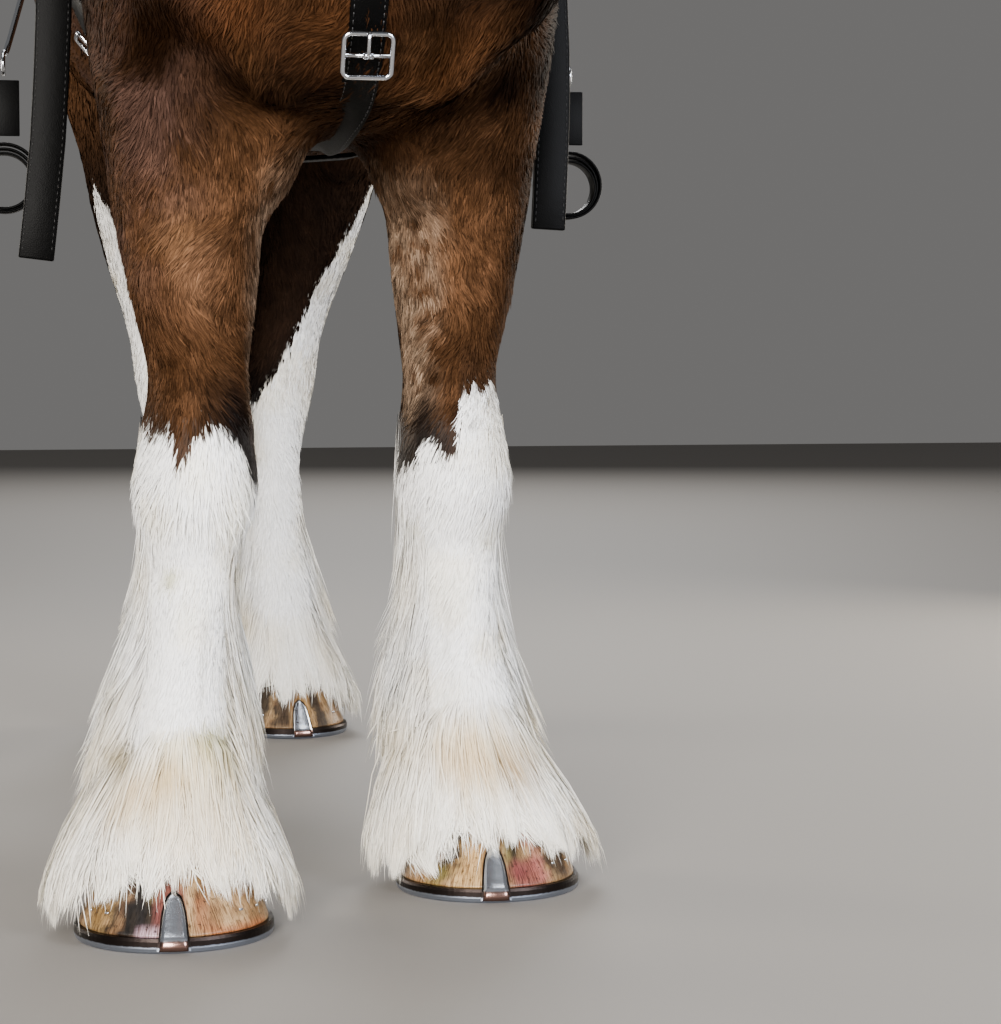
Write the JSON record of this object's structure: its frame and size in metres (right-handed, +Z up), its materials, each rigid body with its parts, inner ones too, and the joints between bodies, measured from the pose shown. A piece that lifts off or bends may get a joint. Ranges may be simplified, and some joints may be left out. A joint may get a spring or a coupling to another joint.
{
  "type": "clydesdale horse",
  "caption": "Life-size bay draught horse standing square in a black working collar, girth and traces, with feathered white legs and iron shoes.",
  "frame": {"origin": "on the floor, under the middle of the whole model's box", "axes": "+Z up, the horse faces -Y, +X is the horse's left side"},
  "size_m": [0.868, 2.7946, 2.485],
  "materials": {
    "bay_coat": "short, slightly shaggy reddish bay hair with darker and greyer patches, low sheen",
    "white_stocking": "long soft white to cream hair with tan and olive stains",
    "black_hair": "long coarse near-black hair with a soft sheen",
    "hoof_horn": "glossy damp horn, vertically streaked amber, cream, pink and black",
    "shoe_steel": "dark worn steel with a polished ground edge and bright toe clip",
    "harness_leather": "black oiled harness leather, creased, satin",
    "harness_chrome": "polished plated hardware",
    "eye": "wet dark brown eye"
  },
  "bodies": {
    "root": {"back_pad": "harness_leather", "breast_buckle": "harness_chrome", "breast_strap": "harness_leather", "coil_left": "harness_leather", "coil_right": "harness_leather", "collar": "harness_leather", "ear_left": "bay_coat", "ear_right": "bay_coat", "eye_left": "eye", "eye_right": "eye", "foreleg_lower_left": "white_stocking", "foreleg_lower_right": "white_stocking", "foreleg_upper_left": "bay_coat", "foreleg_upper_right": "bay_coat", "forelock": "black_hair", "girth": "harness_leather", "girth_buckle_left": "harness_chrome", "girth_buckle_right": "harness_chrome", "hame_left": "harness_chrome", "hame_right": "harness_chrome", "hame_strap": "harness_leather", "head": "bay_coat", "hindleg_lower_left": "white_stocking", "hindleg_lower_right": "white_stocking", "hindleg_upper_left": "bay_coat", "hindleg_upper_right": "bay_coat", "hoof_fore_left": "hoof_horn", "hoof_fore_right": "hoof_horn", "hoof_hind_left": "hoof_horn", "hoof_hind_right": "hoof_horn", "mane": "black_hair", "neck": "bay_coat", "shoe_fore_left": "shoe_steel", "shoe_fore_right": "shoe_steel", "shoe_hind_left": "shoe_steel", "shoe_hind_right": "shoe_steel", "snap_left": "harness_chrome", "snap_right": "harness_chrome", "tab_left": "bay_coat", "tab_right": "bay_coat", "tail": "black_hair", "torso": "bay_coat", "trace_end_left": "harness_leather", "trace_end_right": "harness_leather", "trace_left": "harness_leather", "trace_right": "harness_leather"}
  },
  "joints": []
}
